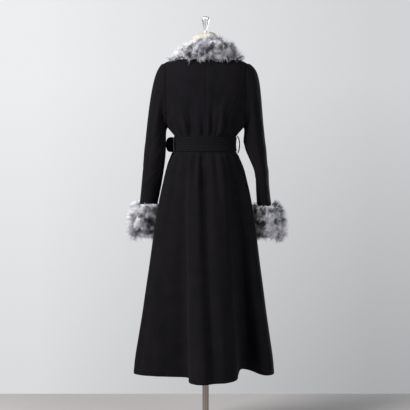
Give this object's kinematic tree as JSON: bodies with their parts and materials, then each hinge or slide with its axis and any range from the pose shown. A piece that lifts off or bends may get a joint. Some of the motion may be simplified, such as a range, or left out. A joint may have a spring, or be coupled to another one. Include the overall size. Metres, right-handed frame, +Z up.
{
  "type": "long belted coat with fur collar and cuffs on a dress form with a stand",
  "caption": "Long princess-seamed wrap coat with a shaggy fur collar, deep fur cuffs and a tied belt, worn by a limbless dress form on a round-based stand.",
  "frame": {"origin": "centre of the stand base's underside, on the pole's axis", "axes": "+Z up along the pole, -Y towards the front of the coat, +X towards the wearer's left"},
  "size_m": [0.5921, 0.3941, 1.534],
  "materials": {
    "wool": "matt milled wool melton, near black",
    "faux_fur": "long shaggy pile, pale grey with charcoal spots",
    "cream_jersey": "fine jersey over a padded form",
    "brushed_steel": "brushed, warm grey"
  },
  "bodies": {
    "root": {"back_centre_left": "wool", "back_centre_right": "wool", "back_side_left": "wool", "back_side_right": "wool", "front_left": "wool", "front_right": "wool", "top_sleeve_left": "wool", "under_sleeve_left": "wool", "top_sleeve_right": "wool", "under_sleeve_right": "wool", "belt_band": "wool", "belt_knot": "wool", "belt_end_long": "wool", "belt_end_short": "wool", "belt_loop_left": "wool", "belt_loop_right": "wool", "fur_collar": "faux_fur", "fur_cuff_left": "faux_fur", "fur_cuff_right": "faux_fur", "form_torso": "cream_jersey", "neck_cap": "cream_jersey", "stand_pole": "brushed_steel", "stand_base": "brushed_steel", "neck_finial": "brushed_steel", "cap_fitting": "brushed_steel"}
  },
  "joints": []
}
